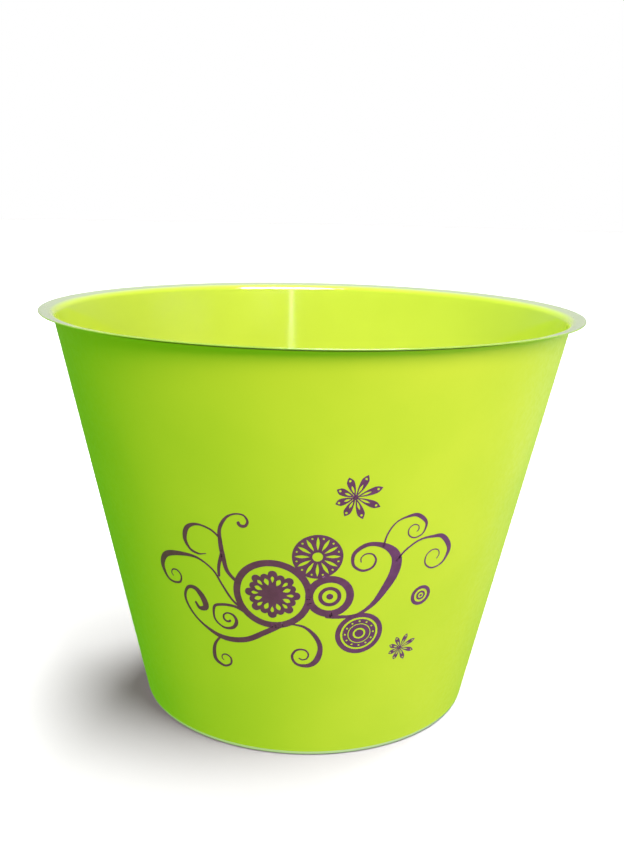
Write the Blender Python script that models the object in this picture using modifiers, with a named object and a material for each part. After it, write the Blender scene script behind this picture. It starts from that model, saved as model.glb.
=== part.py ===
"""Florist bucket: a thin tapered plastic bucket with a flared lip, a film round its wall and a print on it.

Metres, +Z up. The origin is the centre of the foot ring, where the bucket stands, and the print faces -Y.
The print is drawn flat, in millimetres on the unrolled film, and is then rolled on to the cone.
"""
import math

import bmesh
import bpy

# The moulding.
HEIGHT = 0.1865                # foot ring to the top of the lip's edge
TOP_RADIUS = 0.1187            # outer face of the wall, carried up to the full height
BASE_RADIUS = 0.0777           # outer face of the wall, carried down to the foot
WALL = 0.0012
LIP_REACH = 0.0063             # how far the lip stands out past the wall
LIP_RISE = math.radians(9)     # how steeply the lip still rises at its edge
LIP_FILLET = 0.0035            # centre line of the bend from the wall into the lip
LIP_THICKNESS = 0.0006
FLOOR_THICKNESS = 0.0015
FOOT_DEPTH = 0.0010            # the floor's underside stands this high inside the foot ring
FOOT_WIDTH = 0.0040
CORNER_RADIUS = 0.0018
GATE_RADIUS = 0.0030
GATE_HEIGHT = 0.0004

# The film.
FILM = 0.0003
FILM_GAP = 0.0003              # between the film and the wall
FILM_TOP_MARGIN = 0.0004       # bare wall left below the bend of the lip
FILM_BASE_MARGIN = 0.0004      # bare wall left above the corner of the base
SEAM_GAP = 0.0008              # where the film's two ends meet, at the back

# The print.
INK = 0.0003
INK_GAP = 0.0003               # between the ink and the film
PRINT_HEIGHT = 0.0800          # height of the drawing's origin above the foot
PRINT_SCALE = 1.0

TURN_STEPS = 72
ARC_STEPS = 3
MERGE = 0.00001
MM = 0.001
STROKE_STEP = 3.0              # millimetres between two points along a scroll
CIRCLE_STEP = 3.0              # millimetres between two points round a circle
BEND_STEP = 0.008              # width of the flat strips that a slab of ink is bent along

SLOPE = (TOP_RADIUS - BASE_RADIUS) / HEIGHT
TILT = math.atan(SLOPE)        # the wall's lean from the vertical
UPHILL = math.pi / 2 - TILT    # the wall's angle from the floor

# Colours and finish of the three materials.
LIME_PLASTIC = ((0.55, 0.78, 0.03, 1.0), 0.15)
GREEN_FILM = ((0.42, 0.70, 0.03, 1.0), 0.45)
PURPLE_INK = ((0.075, 0.028, 0.070, 1.0), 0.50)


def empty_scene():
    for thing in list(bpy.data.objects):
        bpy.data.objects.remove(thing, do_unlink=True)


def new_collection(name):
    collection = bpy.data.collections.new(name)
    bpy.context.scene.collection.children.link(collection)
    return collection


def new_material(name, finish):
    colour, roughness = finish
    material = bpy.data.materials.new(name)
    material.use_nodes = True
    shader = material.node_tree.nodes["Principled BSDF"]
    shader.inputs["Base Color"].default_value = colour
    shader.inputs["Roughness"].default_value = roughness
    shader.inputs["Metallic"].default_value = 0.0
    material.diffuse_color = colour
    return material


# ---------------------------------------------------------------- turned pieces

def wall_radius(height, out=0.0):
    """Radius of the wall's outer face at a height, moved outwards by a distance square to the wall."""
    return BASE_RADIUS + SLOPE * height + out / math.cos(TILT)


def bend(start, radius, heading, end_heading, steps=ARC_STEPS):
    """Points of an arc in the radius-height plane that starts at a point and turns between two headings.

    A positive turn is to the left. The start itself is left out.
    """
    turn = end_heading - heading
    side = 1.0 if turn > 0 else -1.0
    centre = (start[0] - side * radius * math.sin(heading), start[1] + side * radius * math.cos(heading))
    points = []
    for step in range(1, steps + 1):
        now = heading + turn * step / steps
        points.append((centre[0] + side * radius * math.sin(now), centre[1] - side * radius * math.cos(now)))
    return points


def lip_layout():
    """The lip's centre line: radius and height where the bend starts, and the straight run to the edge."""
    edge_radius = TOP_RADIUS + LIP_REACH - LIP_THICKNESS / 2
    edge_height = HEIGHT - LIP_THICKNESS / 2
    rise = LIP_FILLET * (math.cos(LIP_RISE) - math.cos(UPHILL))
    reach = LIP_FILLET * (math.sin(UPHILL) - math.sin(LIP_RISE))
    short_of_edge = edge_radius - wall_radius(edge_height - rise, -WALL / 2) - reach
    run = short_of_edge / (math.cos(LIP_RISE) - SLOPE * math.sin(LIP_RISE))
    height = edge_height - rise - run * math.sin(LIP_RISE)
    return wall_radius(height, -WALL / 2), height, run


def lip_face(offset):
    """The lip's points from the wall to its edge, this far to the left of its centre line."""
    radius, height, run = lip_layout()
    start = (radius - offset * math.sin(UPHILL), height + offset * math.cos(UPHILL))
    arc = bend(start, LIP_FILLET + offset, UPHILL, LIP_RISE)
    end = (arc[-1][0] + run * math.cos(LIP_RISE), arc[-1][1] + run * math.sin(LIP_RISE))
    return [start] + arc + [end]


def corner_run(radius):
    """Distance from the sharp corner of wall and floor to where a fillet of this radius starts."""
    return radius * math.tan(UPHILL / 2)


def shell_profile():
    """Half section of the moulding: floor, inside wall, lip, outside wall, corner, foot ring, underside."""
    floor_top = FOOT_DEPTH + FLOOR_THICKNESS
    run = corner_run(CORNER_RADIUS)
    inner_start = (wall_radius(floor_top, -WALL) - run, floor_top)
    outer_start = (wall_radius(run * math.cos(TILT)), run * math.cos(TILT))
    outer_corner = bend(outer_start, CORNER_RADIUS, UPHILL - math.pi, -math.pi)
    foot_inner = outer_corner[-1][0] - FOOT_WIDTH
    upper_face = lip_face(LIP_THICKNESS / 2)
    lower_face = lip_face(-LIP_THICKNESS / 2)
    edge = bend(upper_face[-1], LIP_THICKNESS / 2, LIP_RISE, LIP_RISE - math.pi)
    profile = [(0.0, floor_top), inner_start]
    profile += bend(inner_start, CORNER_RADIUS, 0.0, UPHILL)
    profile += upper_face + edge[:-1] + lower_face[::-1]
    profile += [outer_start] + outer_corner
    profile += [(foot_inner, 0.0), (foot_inner - FOOT_DEPTH / 2, FOOT_DEPTH)]
    profile += [(GATE_RADIUS, FOOT_DEPTH), (GATE_RADIUS, FOOT_DEPTH - GATE_HEIGHT)]
    profile.append((0.0, FOOT_DEPTH - GATE_HEIGHT))
    return profile


def turned_object(name, profile, collection, material, angle=2.0 * math.pi):
    mesh = bpy.data.meshes.new(name)
    edges = [(i, i + 1) for i in range(len(profile) - 1)]
    mesh.from_pydata([(radius, 0.0, height) for radius, height in profile], edges, [])
    piece = bpy.data.objects.new(name, mesh)
    collection.objects.link(piece)
    mesh.materials.append(material)
    screw = piece.modifiers.new("turn", "SCREW")
    screw.axis = "Z"
    screw.angle = angle
    screw.steps = TURN_STEPS
    screw.render_steps = TURN_STEPS
    screw.use_merge_vertices = True
    screw.merge_threshold = MERGE
    screw.use_smooth_shade = True
    return piece


def make_shell(collection, material):
    return turned_object("bucket_shell", shell_profile(), collection, material)


def film_span():
    """Lowest and highest height of the film on the wall."""
    return CORNER_RADIUS + FILM_BASE_MARGIN, lip_layout()[1] - FILM_TOP_MARGIN


def make_film(collection, material):
    """A cone of film whose ends meet at the back: its inner face is turned and thickened outwards."""
    low, high = film_span()
    face = [(wall_radius(high, FILM_GAP), high), (wall_radius(low, FILM_GAP), low)]
    seam_angle = SEAM_GAP / BASE_RADIUS
    film = turned_object("wall_label", face, collection, material, 2.0 * math.pi - seam_angle)
    film.rotation_euler[2] = math.pi / 2 + seam_angle / 2
    thicken = film.modifiers.new("thickness", "SOLIDIFY")
    thicken.thickness = FILM
    thicken.offset = 1.0
    thicken.use_even_offset = True
    return film


# ---------------------------------------------------------------- the drawing, flat, in millimetres

def circle(centre, radius):
    count = max(8, 4 * round(math.tau * radius / CIRCLE_STEP / 4))
    turns = [math.tau * i / count for i in range(count)]
    return [(centre[0] + radius * math.cos(a), centre[1] + radius * math.sin(a)) for a in turns]


def spiral(eye, radii, start, sweep, count=7):
    """Points that wind round an eye while the distance shrinks in proportion; angles in degrees."""
    points = []
    for i in range(count):
        share = i / (count - 1)
        radius = radii[0] * (radii[1] / radii[0]) ** share
        angle = math.radians(start + sweep * share)
        points.append((eye[0] + radius * math.cos(angle), eye[1] + radius * math.sin(angle)))
    return points


def smooth_path(knots, step):
    """A Catmull-Rom curve through the knots, with a point about every step."""
    ends = [knots[0]] + list(knots) + [knots[-1]]
    path = []
    for a, b, c, d in zip(ends, ends[1:], ends[2:], ends[3:]):
        pieces = max(2, round(math.dist(b, c) / step))
        for i in range(pieces):
            t = i / pieces
            weights = ((-t + 2 * t * t - t ** 3) / 2, (2 - 5 * t * t + 3 * t ** 3) / 2,
                       (t + 4 * t * t - 3 * t ** 3) / 2, (t ** 3 - t * t) / 2)
            path.append(tuple(sum(w * p[k] for w, p in zip(weights, (a, b, c, d))) for k in (0, 1)))
    return path + [knots[-1]]


def width_at(widths, share):
    """Width of a stroke at a share of its length, eased between the (share, width) stops."""
    for (s0, w0), (s1, w1) in zip(widths, widths[1:]):
        if share <= s1:
            ease = (1.0 - math.cos(math.pi * (share - s0) / (s1 - s0))) / 2
            return w0 + (w1 - w0) * ease
    return widths[-1][1]


def stroke(knots, widths):
    """Closed outline of a brush stroke along the knots."""
    path = smooth_path(knots, STROKE_STEP)
    travelled = [0.0]
    for a, b in zip(path, path[1:]):
        travelled.append(travelled[-1] + math.dist(a, b))
    left, right = [], []
    for i, point in enumerate(path):
        before, after = path[max(i - 1, 0)], path[min(i + 1, len(path) - 1)]
        length = math.dist(before, after)
        side = ((before[1] - after[1]) / length, (after[0] - before[0]) / length)
        half = width_at(widths, travelled[i] / travelled[-1]) / 2
        left.append((point[0] + side[0] * half, point[1] + side[1] * half))
        right.append((point[0] - side[0] * half, point[1] - side[1] * half))
    return left + right[::-1]


def leaf(centre, angle, near, far, width, fullest, count=4):
    """Outline of a petal or slot that points away from a centre and is fullest at a share of its length."""
    along = (math.cos(angle), math.sin(angle))
    left, right = [], []
    for i in range(count + 1):
        share = i / count
        lift = share / fullest if share < fullest else (1.0 - share) / (1.0 - fullest)
        half = width / 2 * math.sin(math.pi / 2 * lift)
        reach = near + (far - near) * share
        x, y = centre[0] + reach * along[0], centre[1] + reach * along[1]
        left.append((x - half * along[1], y + half * along[0]))
        right.append((x + half * along[1], y - half * along[0]))
    return left + right[-2:0:-1]


# Middles of the round figures, and the outer and inner radius of each disc or ring round them.
RING_CENTRE = (-13.7, 1.3)
RING = (16.4, 13.4)
DAISY_CENTRE = (4.2, 20.1)
DAISY = (10.2, 2.1)
TARGET_CENTRE = (9.5, 1.2)
TARGET_RIM = (9.9, 6.7)
TARGET_RING = (4.7, 3.1)
TARGET_DOT = 1.4
MEDALLION_CENTRE = (22.3, -18.1)
MEDALLION_RIM = (10.1, 8.0)
MEDALLION_BAND = (7.1, 4.9)
MEDALLION_RING = (4.5, 2.7)
MEDALLION_DOT = 1.9
OVAL_CENTRE = (49.6, -5.4)
OVAL_RIM = (4.8, 3.2)
OVAL_RING = (2.2, 1.3)
OVAL_DOT = 0.6
PETALS = 12                    # of the daisy, and dots in the medallion's ring
# Slots: near end, far end, width, and the share of the length where they are fullest.
DAISY_SLOT = (3.0, 9.2, 1.3, 0.55)
DAISY_DOTS = (8.6, 0.42)       # distance of the pierced dots from the middle, and their radius
ROSETTE_PETALS = 16            # long and short ones in turn
ROSETTE_LONG_SLOT = (5.7, 8.7, 1.4, 0.7)
ROSETTE_SHORT_SLOT = (4.5, 8.0, 1.9, 0.62)
ROSETTE_LONG_PETAL = (9.5, 1.9)  # middle and radius of its round end
ROSETTE_SHORT_PETAL = (8.5, 1.7)
ROSETTE_BODY = 8.6             # radius of the disc that the petals grow from
ROSETTE_STEPS = 6              # points along each petal's end
BAND_DOTS = (6.0, 0.42)        # as the daisy's dots
# The loose flowers, at full size: hub, petals of uneven length, and each petal's slot and dot.
LARGE_FLOWER_CENTRE = (18.3, 46.5)
SMALL_FLOWER_CENTRE = (41.3, -29.9)
SMALL_FLOWER_SCALE = 0.68
FLOWER_PETALS = 8
FLOWER_TURN = math.radians(18)
FLOWER_HUB = 1.2
PETAL_NEAR = 0.2
PETAL_REACH = 9.9
PETAL_SPREAD = 1.7             # how much longer the petals on the right are
PETAL_WIDTH = 3.1
PETAL_FULLEST = 0.72
PETAL_SLOT_NEAR = 1.9
PETAL_SLOT_SHARE = 0.58        # where the slot ends along the petal
PETAL_SLOT_WIDTH = 0.9
PETAL_SLOT_FULLEST = 0.6
PETAL_DOT_SHARE = 0.82
PETAL_DOT = 0.5


def scrolls():
    """The brush strokes: each is a stem of a few knots, most with a spiral at its end, and its widths."""
    top_curl = [(-28.0, 4.5), (-32.6, 9.2), (-34.4, 16.0), (-35.4, 22.0), (-35.6, 28.5), (-33.0, 34.0)]
    top_curl += spiral((-26.4, 33.3), (4.4, 1.1), 132, -330)
    side_branch = [(-36.3, 5.6), (-36.4, 10.0), (-35.6, 14.5), (-34.8, 19.0)]
    hook = [(-35.3, 24.0), (-39.6, 27.2), (-45.8, 28.1), (-50.6, 25.2), (-51.9, 19.5), (-49.4, 15.2)]
    hook += [(-45.3, 14.2), (-41.8, 15.4)]
    far_curl = [(-26.0, -8.0), (-30.6, -4.4), (-34.8, 1.6), (-39.2, 8.2), (-46.6, 12.0), (-55.6, 11.0)]
    far_curl += [(-62.6, 7.8), (-65.0, 2.0), (-62.9, -3.2)]
    far_curl += spiral((-58.1, -0.4), (4.6, 1.6), -110, 350)
    great_arc = [(-9.0, -12.6), (-16.4, -17.6), (-25.0, -23.0), (-34.6, -24.5), (-43.2, -21.6)]
    great_arc += [(-49.6, -16.8), (-53.2, -10.4), (-51.8, -4.8), (-48.0, -3.6), (-44.4, -7.0)]
    great_arc += [(-43.0, -11.4), (-46.0, -13.0), (-48.2, -10.2)]
    inner_curl = [(-24.4, -9.6), (-29.6, -7.4), (-35.4, -7.9)]
    inner_curl += spiral((-32.7, -14.2), (7.5, 1.2), 146, 560, 12)
    low_curl = [(-36.4, -24.6), (-38.9, -28.8), (-39.6, -33.4)]
    low_curl += spiral((-34.4, -35.3), (4.8, 1.3), 206, 400, 8)
    bottom_curl = [(-6.0, -12.4), (-0.4, -13.8), (4.2, -18.6), (6.2, -24.4), (4.8, -30.4)]
    bottom_curl += spiral((-1.2, -28.2), (5.6, 1.8), -62, -440, 9)
    arm = [(7.6, -8.2), (14.0, -9.0), (21.0, -8.6), (27.4, -4.4), (32.4, 2.4), (36.0, 9.2), (36.9, 15.6)]
    arm += [(34.4, 20.6), (29.4, 23.9)]
    arm += spiral((24.0, 17.3), (7.2, 2.4), 92, 470, 10)
    upper_tendril = [(30.6, 22.4), (32.3, 28.6), (36.0, 33.4), (41.6, 35.1)]
    upper_tendril += spiral((44.2, 28.2), (6.4, 1.5), 78, -500, 10)
    lower_tendril = [(36.6, 14.6), (40.6, 19.2), (46.8, 22.6), (53.2, 22.6)]
    lower_tendril += spiral((54.6, 12.6), (9.2, 2.2), 66, -480, 10)
    return [
        (top_curl, [(0.0, 1.5), (0.3, 2.1), (0.55, 1.5), (0.75, 0.7), (1.0, 1.5)]),
        (side_branch, [(0.0, 1.2), (0.6, 1.5), (1.0, 1.0)]),
        (hook, [(0.0, 1.0), (0.25, 0.9), (0.55, 2.2), (0.8, 1.2), (1.0, 0.4)]),
        (far_curl, [(0.0, 1.1), (0.3, 0.9), (0.6, 2.7), (0.78, 1.1), (0.9, 0.8), (1.0, 0.5)]),
        (great_arc, [(0.0, 2.4), (0.3, 2.6), (0.55, 1.0), (0.7, 1.3), (0.88, 3.0), (1.0, 1.2)]),
        (inner_curl, [(0.0, 1.3), (0.25, 1.3), (0.5, 0.9), (0.68, 1.6), (0.85, 0.8), (1.0, 1.1)]),
        (low_curl, [(0.0, 1.0), (0.35, 1.8), (0.7, 0.9), (1.0, 0.5)]),
        (bottom_curl, [(0.0, 0.9), (0.3, 2.0), (0.45, 2.6), (0.65, 1.1), (1.0, 0.6)]),
        (arm, [(0.0, 2.0), (0.12, 1.4), (0.42, 4.6), (0.62, 1.9), (0.8, 1.1), (1.0, 0.5)]),
        (upper_tendril, [(0.0, 0.8), (0.25, 0.7), (0.45, 1.8), (0.65, 0.7), (1.0, 0.5)]),
        (lower_tendril, [(0.0, 0.9), (0.2, 0.9), (0.45, 2.4), (0.65, 0.8), (1.0, 0.5)]),
    ]


def ring(centre, radii):
    """Outlines of a ring, or of a disc with a round hole."""
    return [circle(centre, radii[0]), circle(centre, radii[1])]


def ring_of_dots(centre, dots, turn):
    """Small circles round a centre, one for each petal."""
    reach, radius = dots
    circles = []
    for i in range(PETALS):
        angle = math.tau * (i + turn) / PETALS
        spot = (centre[0] + reach * math.cos(angle), centre[1] + reach * math.sin(angle))
        circles.append(circle(spot, radius))
    return circles


def daisy_outlines():
    """A disc with an open hub, slots all round and a dot between every two slots."""
    outlines = ring(DAISY_CENTRE, DAISY) + ring_of_dots(DAISY_CENTRE, DAISY_DOTS, 0.5)
    for i in range(PETALS):
        outlines.append(leaf(DAISY_CENTRE, math.tau * i / PETALS, *DAISY_SLOT))
    return outlines


def rosette_reach(angle):
    """How far the rosette reaches at an angle: long and short petals in turn, each with a round end."""
    reach = ROSETTE_BODY
    for i in range(ROSETTE_PETALS):
        middle, radius = ROSETTE_SHORT_PETAL if i % 2 else ROSETTE_LONG_PETAL
        apart = angle - math.tau * i / ROSETTE_PETALS
        under_root = radius ** 2 - (middle * math.sin(apart)) ** 2
        if under_root > 0.0 and math.cos(apart) > 0.0:
            reach = max(reach, middle * math.cos(apart) + math.sqrt(under_root))
    return reach


def rosette_outlines():
    """A disc edged with petals, with a slot in each petal."""
    edge = []
    for i in range(ROSETTE_PETALS * ROSETTE_STEPS):
        angle = math.tau * i / (ROSETTE_PETALS * ROSETTE_STEPS)
        reach = rosette_reach(angle)
        edge.append((RING_CENTRE[0] + reach * math.cos(angle), RING_CENTRE[1] + reach * math.sin(angle)))
    outlines = [edge]
    for i in range(ROSETTE_PETALS):
        slot = ROSETTE_SHORT_SLOT if i % 2 else ROSETTE_LONG_SLOT
        outlines.append(leaf(RING_CENTRE, math.tau * i / ROSETTE_PETALS, *slot))
    return outlines


def medallion_band_outlines():
    """A ring pierced by a circle of dots."""
    return ring(MEDALLION_CENTRE, MEDALLION_BAND) + ring_of_dots(MEDALLION_CENTRE, BAND_DOTS, 0.0)


def flower_pieces(centre, scale):
    """A loose flower: a hub and eight petals, longer towards the right, each with a slot and a dot."""
    pieces = [[circle(centre, FLOWER_HUB * scale)]]
    for i in range(FLOWER_PETALS):
        angle = math.tau * i / FLOWER_PETALS + FLOWER_TURN
        reach = (PETAL_REACH + PETAL_SPREAD * math.cos(angle)) * scale
        petal = leaf(centre, angle, PETAL_NEAR * scale, reach, PETAL_WIDTH * scale, PETAL_FULLEST, 6)
        slot = leaf(centre, angle, PETAL_SLOT_NEAR * scale, reach * PETAL_SLOT_SHARE,
                    PETAL_SLOT_WIDTH * scale, PETAL_SLOT_FULLEST, 3)
        dot_reach = reach * PETAL_DOT_SHARE
        spot = (centre[0] + dot_reach * math.cos(angle), centre[1] + dot_reach * math.sin(angle))
        pieces.append([petal, slot, circle(spot, PETAL_DOT * scale)])
    return pieces


def scrollwork_pieces():
    """What the scrolls join: the thick ring, the daisy, and the rims of the target and medallion."""
    pieces = [
        ring(RING_CENTRE, RING),
        daisy_outlines(),
        ring(TARGET_CENTRE, TARGET_RIM),
        ring(MEDALLION_CENTRE, MEDALLION_RIM),
    ]
    for knots, widths in scrolls():
        pieces.append([stroke(knots, widths)])
    return pieces


def print_nodes():
    """Each island of ink by name: a list of pieces to join, each a list of outlines, holes after the edge."""
    return {
        "print_scrollwork": scrollwork_pieces(),
        "print_rosette": [rosette_outlines()],
        "print_target_ring": [ring(TARGET_CENTRE, TARGET_RING)],
        "print_target_dot": [[circle(TARGET_CENTRE, TARGET_DOT)]],
        "print_medallion_band": [medallion_band_outlines()],
        "print_medallion_ring": [ring(MEDALLION_CENTRE, MEDALLION_RING)],
        "print_medallion_dot": [[circle(MEDALLION_CENTRE, MEDALLION_DOT)]],
        "print_oval_rim": [ring(OVAL_CENTRE, OVAL_RIM)],
        "print_oval_ring": [ring(OVAL_CENTRE, OVAL_RING)],
        "print_oval_dot": [[circle(OVAL_CENTRE, OVAL_DOT)]],
        "print_large_flower": flower_pieces(LARGE_FLOWER_CENTRE, 1.0),
        "print_small_flower": flower_pieces(SMALL_FLOWER_CENTRE, SMALL_FLOWER_SCALE),
    }


# ---------------------------------------------------------------- from the drawing to solids on the wall

def flat_solid(name, outlines, collection):
    """A flat slab of ink from closed outlines, in metres, with its middle in the plane of the film."""
    curve = bpy.data.curves.new(name, "CURVE")
    curve.dimensions = "2D"
    curve.fill_mode = "BOTH"
    curve.extrude = INK / 2
    for outline in outlines:
        spline = curve.splines.new("POLY")
        spline.points.add(len(outline) - 1)
        for point, (x, y) in zip(spline.points, outline):
            point.co = (x * MM * PRINT_SCALE, y * MM * PRINT_SCALE, 0.0, 1.0)
        spline.use_cyclic_u = True
    drawn = bpy.data.objects.new(name, curve)
    collection.objects.link(drawn)
    bpy.context.view_layer.update()
    graph = bpy.context.evaluated_depsgraph_get()
    mesh = bpy.data.meshes.new_from_object(drawn.evaluated_get(graph))
    bpy.data.objects.remove(drawn, do_unlink=True)
    shape = bmesh.new()
    shape.from_mesh(mesh)
    bmesh.ops.remove_doubles(shape, verts=shape.verts, dist=MERGE / 10)
    bmesh.ops.recalc_face_normals(shape, faces=shape.faces)
    shape.to_mesh(mesh)
    shape.free()
    slab = bpy.data.objects.new(name, mesh)
    collection.objects.link(slab)
    return slab


def joined(slabs):
    """One slab from several that overlap."""
    first = slabs[0]
    for other in slabs[1:]:
        other.hide_render = True
        other.display_type = "WIRE"
        union = first.modifiers.new("join", "BOOLEAN")
        union.operation = "UNION"
        union.solver = "EXACT"
        union.object = other
    bpy.context.view_layer.update()
    graph = bpy.context.evaluated_depsgraph_get()
    mesh = bpy.data.meshes.new_from_object(first.evaluated_get(graph))
    for slab in slabs:
        bpy.data.objects.remove(slab, do_unlink=True)
    return mesh


def cut_in_strips(shape):
    """Cuts a flat slab across X so that it can bend round the wall."""
    reach = max(abs(point.co.x) for point in shape.verts)
    for i in range(-math.floor(reach / BEND_STEP), math.floor(reach / BEND_STEP) + 1):
        everything = shape.verts[:] + shape.edges[:] + shape.faces[:]
        line = (i * BEND_STEP, 0.0, 0.0)
        bmesh.ops.bisect_plane(shape, geom=everything, plane_co=line, plane_no=(1.0, 0.0, 0.0), dist=MERGE)
    bmesh.ops.triangulate(shape, faces=shape.faces)


def roll_on_wall(mesh):
    """Moves every point of a flat slab on to the cone, as rolling the film does: lengths on the film stay."""
    print_radius = wall_radius(PRINT_HEIGHT, FILM_GAP + FILM)
    apex_distance = print_radius / math.sin(TILT)
    shape = bmesh.new()
    shape.from_mesh(mesh)
    cut_in_strips(shape)
    for point in shape.verts:
        x, y, lift = point.co
        distance = math.hypot(x, apex_distance + y)
        angle = math.atan2(x, apex_distance + y) / math.sin(TILT)
        radius = distance * math.sin(TILT)
        height = PRINT_HEIGHT + (radius - print_radius) / SLOPE
        out = lift + INK_GAP + INK / 2
        radius += out * math.cos(TILT)
        point.co = (radius * math.sin(angle), -radius * math.cos(angle), height - out * math.sin(TILT))
    shape.to_mesh(mesh)
    shape.free()


def make_print(name, pieces, collection, cutters, material):
    slabs = [flat_solid(f"{name}_{i}", outlines, cutters) for i, outlines in enumerate(pieces)]
    mesh = joined(slabs)
    roll_on_wall(mesh)
    mesh.name = name
    mesh.materials.clear()
    mesh.materials.append(material)
    patch = bpy.data.objects.new(name, mesh)
    collection.objects.link(patch)
    return patch


def build():
    empty_scene()
    bucket = new_collection("florist_bucket")
    cutters = new_collection("print_blanks")
    make_shell(bucket, new_material("lime_plastic", LIME_PLASTIC))
    make_film(bucket, new_material("green_film", GREEN_FILM))
    ink = new_material("purple_ink", PURPLE_INK)
    for name, pieces in print_nodes().items():
        make_print(name, pieces, bucket, cutters, ink)


build()
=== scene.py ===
"""Looks of a florist bucket: a thin glossy lime moulding, a satin film round it and purple ink on it.

Metres, +Z up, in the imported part's own frame: the bucket stands on z = 0 and its printed front faces -Y.
The print is drawn flat, in millimetres on the unrolled film, and is rolled on to the wall afterwards.
"""
import math

import bmesh
import bpy
from mathutils import Matrix, Vector


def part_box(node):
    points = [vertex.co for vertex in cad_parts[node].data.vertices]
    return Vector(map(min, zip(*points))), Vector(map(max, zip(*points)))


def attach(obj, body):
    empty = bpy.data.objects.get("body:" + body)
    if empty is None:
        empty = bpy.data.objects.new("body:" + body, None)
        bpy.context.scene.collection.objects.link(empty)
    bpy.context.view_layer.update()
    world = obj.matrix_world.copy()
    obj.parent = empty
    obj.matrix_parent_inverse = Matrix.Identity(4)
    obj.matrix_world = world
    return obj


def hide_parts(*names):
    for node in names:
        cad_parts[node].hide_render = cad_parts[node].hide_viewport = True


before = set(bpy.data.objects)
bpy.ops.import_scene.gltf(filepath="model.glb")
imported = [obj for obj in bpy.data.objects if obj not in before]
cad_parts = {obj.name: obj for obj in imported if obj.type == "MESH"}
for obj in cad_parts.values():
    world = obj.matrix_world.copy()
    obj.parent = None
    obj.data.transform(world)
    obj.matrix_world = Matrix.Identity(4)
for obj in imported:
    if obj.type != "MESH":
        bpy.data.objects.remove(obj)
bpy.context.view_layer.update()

MM = 0.001


# ================================================================ sizes, read from the frame

def ring_of(node, highest):
    """Radius and height of a round node's highest or lowest ring of points."""
    low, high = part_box(node)
    level = high.z if highest else low.z
    ring = [p.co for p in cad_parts[node].data.vertices if abs(p.co.z - level) < 0.05 * MM]
    return max(math.hypot(p.x, p.y) for p in ring), level


RIM_RADIUS = max(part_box("bucket_shell")[1].x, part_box("bucket_shell")[1].y)
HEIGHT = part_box("bucket_shell")[1].z
FILM_TOP_RADIUS, FILM_TOP = ring_of("wall_label", True)
FILM_BASE_RADIUS, FILM_BASE = ring_of("wall_label", False)
SLOPE = (FILM_TOP_RADIUS - FILM_BASE_RADIUS) / (FILM_TOP - FILM_BASE)
TILT = math.atan(SLOPE)                       # the wall's lean from the vertical
UPHILL = math.pi / 2 - TILT                   # the wall's angle from the floor

FILM = 0.10 * MM
FILM_GAP = 0.02 * MM
INK = 0.03 * MM
INK_GAP = 0.01 * MM
WALL = 1.2 * MM
LIP_THICKNESS = 0.6 * MM
LIP_FILLET = 3.5 * MM
FILM_TURN = math.radians(55)                  # how far the film follows the bend under the lip
LIP_RISE = math.radians(9)                    # how steeply the lip still rises at its edge
CORNER = 1.8 * MM
FLOOR = 1.5 * MM
FOOT_DEPTH = 1.0 * MM
FOOT_WIDTH = 4.0 * MM
GATE_RADIUS = 3.0 * MM
GATE_HEIGHT = 0.4 * MM
SEAM_GAP = 0.8 * MM
FOOT_CHAMFER = (0.3 * MM, 0.1 * MM)           # the foot ring's inner edge: across and up
FOOT_DRAFT = 0.5 * MM                         # how far the foot ring's inner side leans in
PRINT_HEIGHT = 80.0 * MM                      # height of the drawing's origin

# How finely the meshes are made.
TURN_STEPS = 241                              # points round the bucket
WALL_STEPS = 30
FILM_STEPS = 24
FLOOR_STEPS = 8
LIP_STEPS = 16
EDGE_STEPS = 8
STRIP = 1.5 * MM                              # a slab of ink is cut in strips this wide, so that it can bend
STROKE_STEP = 0.5                             # millimetres between two points along a scroll
MERGE = 0.002 * MM                            # points closer than this are one point in a recipe
WELD = 0.001 * MM                             # and in a finished mesh
SLIVER = 0.0005 * MM                          # edges shorter than this are taken out
SHARP = math.radians(35)                      # an edge steeper than this stays sharp


def wall_radius(height, out=0.0):
    """Radius at a height on the wall; out is measured square to it from the film's outer face."""
    return FILM_BASE_RADIUS + SLOPE * (height - FILM_BASE) + out / math.cos(TILT)


def new_object(name, data):
    """A new object in the scene."""
    thing = bpy.data.objects.new(name, data)
    bpy.context.scene.collection.objects.link(thing)
    return thing


def new_node(tree, kind, inputs, settings):
    """A new node; each input is another node's output or a plain value."""
    node = tree.nodes.new(kind)
    for key, value in settings.items():
        setattr(node, key, value)
    for key, value in (inputs or {}).items():
        if isinstance(value, bpy.types.NodeSocket):
            tree.links.new(value, node.inputs[key])
        else:
            node.inputs[key].default_value = value
    return node


# ================================================================ Geometry Nodes

class Recipe:
    """A Geometry Nodes tree while it is being written, with one geometry in and one out."""

    def __init__(self, name, inputs):
        self.tree = bpy.data.node_groups.new(name, "GeometryNodeTree")
        face = self.tree.interface
        face.new_socket("Geometry", in_out="INPUT", socket_type="NodeSocketGeometry")
        for label, kind in inputs.items():
            face.new_socket(label, in_out="INPUT", socket_type="NodeSocket" + kind)
        face.new_socket("Geometry", in_out="OUTPUT", socket_type="NodeSocketGeometry")
        self.given = self.tree.nodes.new("NodeGroupInput").outputs
        self.result = self.tree.nodes.new("NodeGroupOutput").inputs

    def add(self, kind, inputs=None, **settings):
        return new_node(self.tree, kind, inputs, settings)

    def maths(self, operation, *values):
        return self.add("ShaderNodeMath", dict(enumerate(values)), operation=operation).outputs[0]

    def end(self, geometry, material):
        """Every recipe ends with real geometry that carries its material."""
        real = self.add("GeometryNodeRealizeInstances", {"Geometry": geometry})
        painted = self.add("GeometryNodeSetMaterial", {"Geometry": real.outputs[0], "Material": material})
        self.tree.links.new(painted.outputs[0], self.result[0])
        return self.tree


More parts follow.
